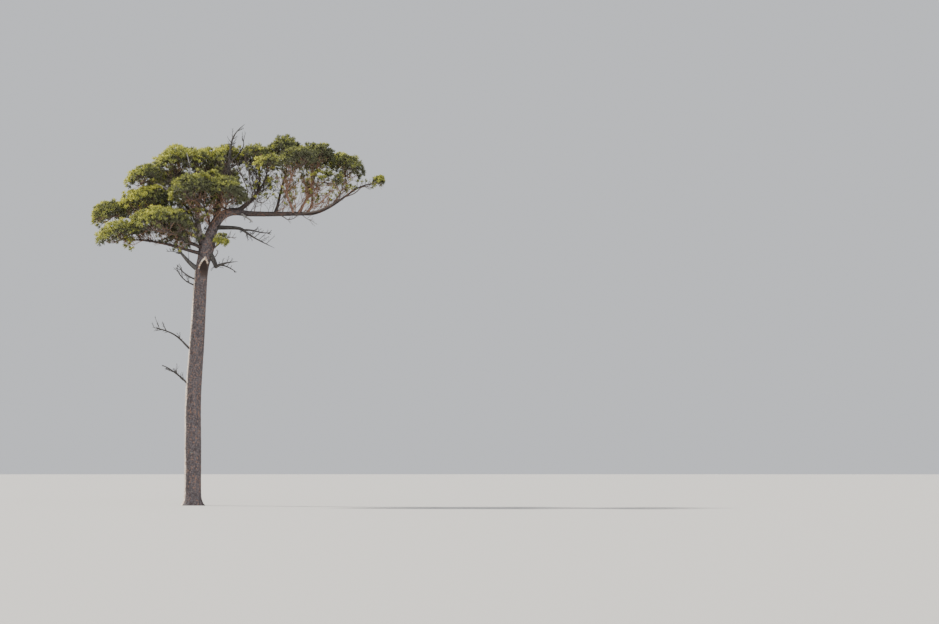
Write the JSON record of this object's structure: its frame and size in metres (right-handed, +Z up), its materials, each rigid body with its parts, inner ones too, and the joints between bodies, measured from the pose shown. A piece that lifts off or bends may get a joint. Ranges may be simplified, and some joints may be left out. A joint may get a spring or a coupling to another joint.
{
  "type": "scots pine tree",
  "caption": "Tall bare-trunked pine with a wide flat crown of needle plates, a long arm to the right and grey dead limbs.",
  "frame": {"origin": "middle of the flat cut under the trunk, at ground level", "axes": "+Z up; +X towards the long arm, to the right in the picture; -Y towards the viewer"},
  "size_m": [12.459, 7.2407, 16.07],
  "materials": {
    "trunk_bark": "rough grey-brown bark in small plates",
    "bough_bark": "rough dark brown bark",
    "dead_wood": "weathered grey wood",
    "needles": "sprays of yellow-green needles"
  },
  "bodies": {
    "root": {"arm_end": "bough_bark", "arm_rise": "bough_bark", "arm_run": "bough_bark", "bough_back_centre": "bough_bark", "bough_back_left": "bough_bark", "bough_back_low_left": "bough_bark", "bough_front_left": "bough_bark", "bough_front_right": "bough_bark", "bough_left_shelf": "bough_bark", "bough_left_tip": "bough_bark", "bough_low_left_inner": "bough_bark", "bough_low_left_outer": "bough_bark", "bough_right_back": "bough_bark", "bough_right_crest": "bough_bark", "bough_right_front": "bough_bark", "bough_right_inner": "bough_bark", "bough_right_lit": "bough_bark", "bough_right_low": "bough_bark", "bough_right_outer": "bough_bark", "bough_right_shoulder": "bough_bark", "bough_sprig": "bough_bark", "bough_top_centre": "bough_bark", "bough_upper_left": "bough_bark", "bough_upper_left_tip": "bough_bark", "centre_leader": "bough_bark", "dead_elbow": "dead_wood", "dead_fork_right": "dead_wood", "dead_grey_low_left": "dead_wood", "dead_hanging_stub": "dead_wood", "dead_pale_snag": "dead_wood", "dead_stub_curl": "dead_wood", "dead_stub_high": "dead_wood", "dead_stub_low": "dead_wood", "dead_stub_middle": "dead_wood", "dead_top": "dead_wood", "left_leader": "bough_bark", "needles_back_centre": "needles", "needles_back_left": "needles", "needles_back_low_left": "needles", "needles_front_left": "needles", "needles_front_right": "needles", "needles_left_shelf": "needles", "needles_left_tip": "needles", "needles_low_left_inner": "needles", "needles_low_left_outer": "needles", "needles_right_back": "needles", "needles_right_crest": "needles", "needles_right_front": "needles", "needles_right_inner": "needles", "needles_right_lit": "needles", "needles_right_low": "needles", "needles_right_outer": "needles", "needles_right_shoulder": "needles", "needles_right_tip": "needles", "needles_sprig": "needles", "needles_top_centre": "needles", "needles_top_left": "needles", "needles_upper_left": "needles", "needles_upper_left_tip": "needles", "trunk": "trunk_bark"}
  },
  "joints": []
}
